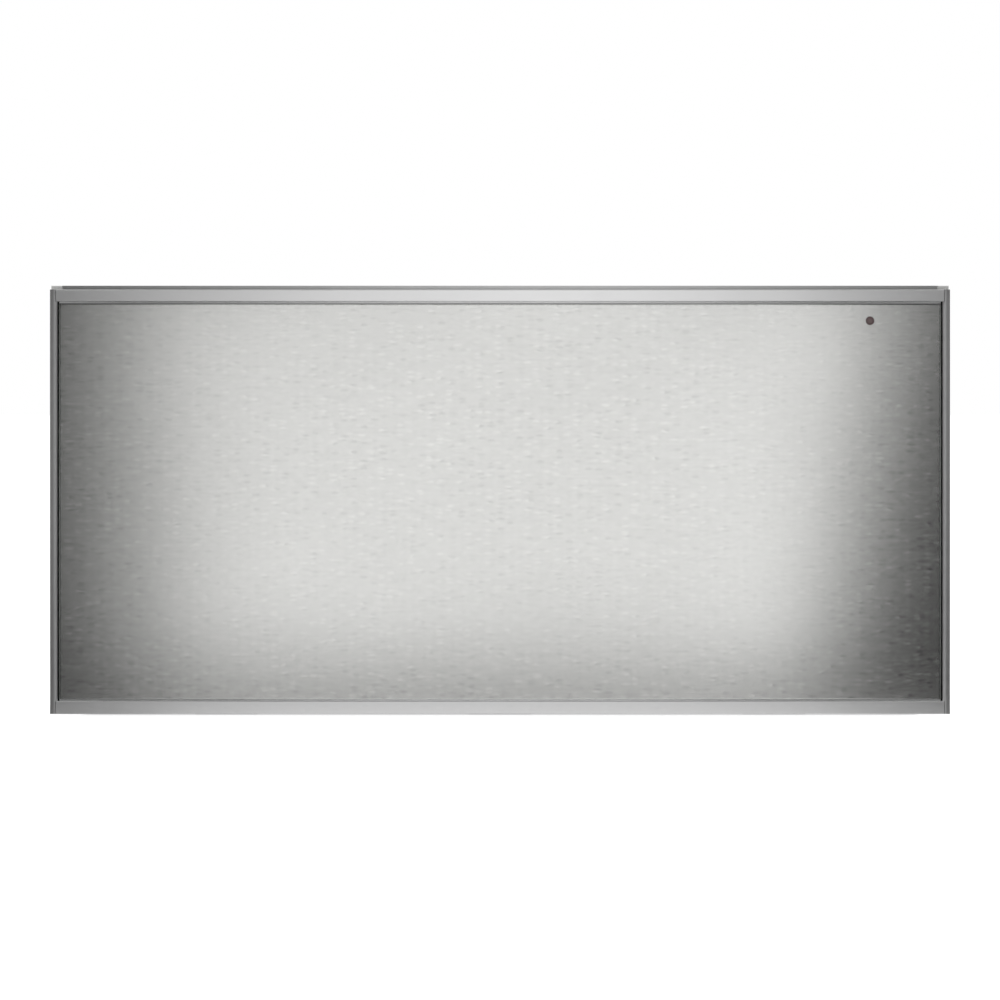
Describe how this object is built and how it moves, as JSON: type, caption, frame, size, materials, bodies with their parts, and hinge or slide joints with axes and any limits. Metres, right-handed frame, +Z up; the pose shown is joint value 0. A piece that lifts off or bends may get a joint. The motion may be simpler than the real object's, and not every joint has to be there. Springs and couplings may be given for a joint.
{
  "type": "warming drawer",
  "caption": "Handleless built-in warming drawer: glass and steel front, full-extension runners, heated tub with a fan, push-to-open ejector, steel casing with a collar.",
  "frame": {"origin": "under the middle of the whole appliance, on the surface that the casing stands on", "axes": "+X to the right seen from the front, +Y to the back, +Z up; the front faces -Y"},
  "size_m": [0.59, 0.535, 0.2818],
  "materials": {
    "galvanised_casing": "zinc-coated sheet, spangled",
    "collar_steel": "satin grey coat",
    "buffer_plastic": "pale grey, fine texture",
    "zinc_steel": "bright zinc",
    "cage_steel": "plain strip with bright balls",
    "front_bar_steel": "satin, brushed along the bar",
    "panel_steel": "brushed across",
    "pane_glass": "clear, polished",
    "seal_rubber": "black, matt",
    "indicator_red": "dark red, unlit",
    "tub_steel": "fine satin",
    "drawer_steel": "plain rolled",
    "base_glass": "dark toughened glass",
    "pad_silicone": "grey silicone",
    "insulation": "pressed mineral wool",
    "heater_steel": "heat-tinted tube",
    "fan_aluminium": "plain",
    "motor_steel": "dark",
    "limiter_ceramic": "white",
    "control_black": "black with white numbers",
    "knob_plastic": "satin silver",
    "switch_plastic": "black",
    "plunger_plastic": "pale, slippery",
    "spring_steel": "bright wire",
    "magnet": "sintered",
    "lead_sheath": "grey sheath"
  },
  "bodies": {
    "casing": {"casing_base": "galvanised_casing", "casing_side_right": "galvanised_casing", "casing_side_left": "galvanised_casing", "casing_top": "galvanised_casing", "casing_back": "galvanised_casing", "face_frame": "collar_steel", "stop_buffer_right": "buffer_plastic", "stop_buffer_left": "buffer_plastic", "casing_fasteners": "zinc_steel", "rail_outer_right": "zinc_steel", "rail_outer_left": "zinc_steel", "terminal_box": "switch_plastic", "mains_gland": "switch_plastic", "ejector_housing": "switch_plastic", "ejector_spring": "spring_steel", "reed_switch": "switch_plastic"},
    "drawer": {"rail_inner_right": "zinc_steel", "rail_inner_left": "zinc_steel", "drawer_side_right": "drawer_steel", "drawer_side_left": "drawer_steel", "drawer_floor_pan": "galvanised_casing", "base_insulation": "insulation", "base_heater": "heater_steel", "tub_liner": "tub_steel", "tub_front_wall": "tub_steel", "tub_back_wall": "tub_steel", "glass_base_plate": "base_glass", "glass_pads": "pad_silicone", "drawer_back_panel": "galvanised_casing", "fan_grille": "tub_steel", "motor_bracket": "drawer_steel", "fan_motor": "motor_steel", "ring_heater": "heater_steel", "heat_limiter": "limiter_ceramic", "fan_compartment_cover": "galvanised_casing", "frame_top": "front_bar_steel", "frame_bottom": "front_bar_steel", "frame_right": "front_bar_steel", "frame_left": "front_bar_steel", "front_glass": "pane_glass", "front_steel_panel": "panel_steel", "glass_seal": "seal_rubber", "front_inner_panel": "drawer_steel", "indicator_light_guide": "indicator_red", "control_panel": "control_black", "selector_switch": "switch_plastic", "control_module": "switch_plastic", "drawer_magnet": "magnet", "drawer_screws": "zinc_steel", "drawer_lead": "lead_sheath"},
    "rail_middle_right": {"rail_middle_right": "zinc_steel"},
    "outer_cage_right": {"ball_cage_outer_right": "cage_steel"},
    "inner_cage_right": {"ball_cage_inner_right": "cage_steel"},
    "rail_middle_left": {"rail_middle_left": "zinc_steel"},
    "outer_cage_left": {"ball_cage_outer_left": "cage_steel"},
    "inner_cage_left": {"ball_cage_inner_left": "cage_steel"},
    "fan": {"fan_wheel": "fan_aluminium"},
    "knob": {"selector_knob": "knob_plastic"},
    "ejector": {"ejector_plunger": "plunger_plastic"}
  },
  "joints": [
    {"name": "drawer_slide", "type": "slide", "parent": "casing", "child": "drawer", "axis": [0, -1, 0], "range_m": [-0.003, 0.41], "deforming": ["drawer_lead"]},
    {"name": "rail_middle_right_slide", "type": "slide", "parent": "casing", "child": "rail_middle_right", "axis": [0, -1, 0], "range_m": [-0.0015, 0.205]},
    {"name": "outer_cage_right_slide", "type": "slide", "parent": "casing", "child": "outer_cage_right", "axis": [0, -1, 0], "range_m": [-0.00075, 0.1025]},
    {"name": "inner_cage_right_slide", "type": "slide", "parent": "casing", "child": "inner_cage_right", "axis": [0, -1, 0], "range_m": [-0.00225, 0.3075]},
    {"name": "rail_middle_left_slide", "type": "slide", "parent": "casing", "child": "rail_middle_left", "axis": [0, -1, 0], "range_m": [-0.0015, 0.205]},
    {"name": "outer_cage_left_slide", "type": "slide", "parent": "casing", "child": "outer_cage_left", "axis": [0, -1, 0], "range_m": [-0.00075, 0.1025]},
    {"name": "inner_cage_left_slide", "type": "slide", "parent": "casing", "child": "inner_cage_left", "axis": [0, -1, 0], "range_m": [-0.00225, 0.3075]},
    {"name": "fan_spin", "type": "hinge", "parent": "drawer", "child": "fan", "pos_m": [0, 0.2, 0.15], "axis": [0, -1, 0], "continuous": true},
    {"name": "knob_turn", "type": "hinge", "parent": "drawer", "child": "knob", "pos_m": [0.215, -0.2315, 0.262], "axis": [0, 0, -1], "range_deg": [0, 240]},
    {"name": "ejector_press", "type": "slide", "parent": "casing", "child": "ejector", "axis": [0, -1, 0], "range_m": [-0.004, 0], "stiffness_N_per_m": 500, "springref_m": 0.002, "deforming": ["ejector_spring"]}
  ],
  "couplings": [
    {"joint": "rail_middle_right_slide", "follows": "drawer_slide", "ratio": 0.5},
    {"joint": "outer_cage_right_slide", "follows": "drawer_slide", "ratio": 0.25},
    {"joint": "inner_cage_right_slide", "follows": "drawer_slide", "ratio": 0.75},
    {"joint": "rail_middle_left_slide", "follows": "drawer_slide", "ratio": 0.5},
    {"joint": "outer_cage_left_slide", "follows": "drawer_slide", "ratio": 0.25},
    {"joint": "inner_cage_left_slide", "follows": "drawer_slide", "ratio": 0.75}
  ]
}
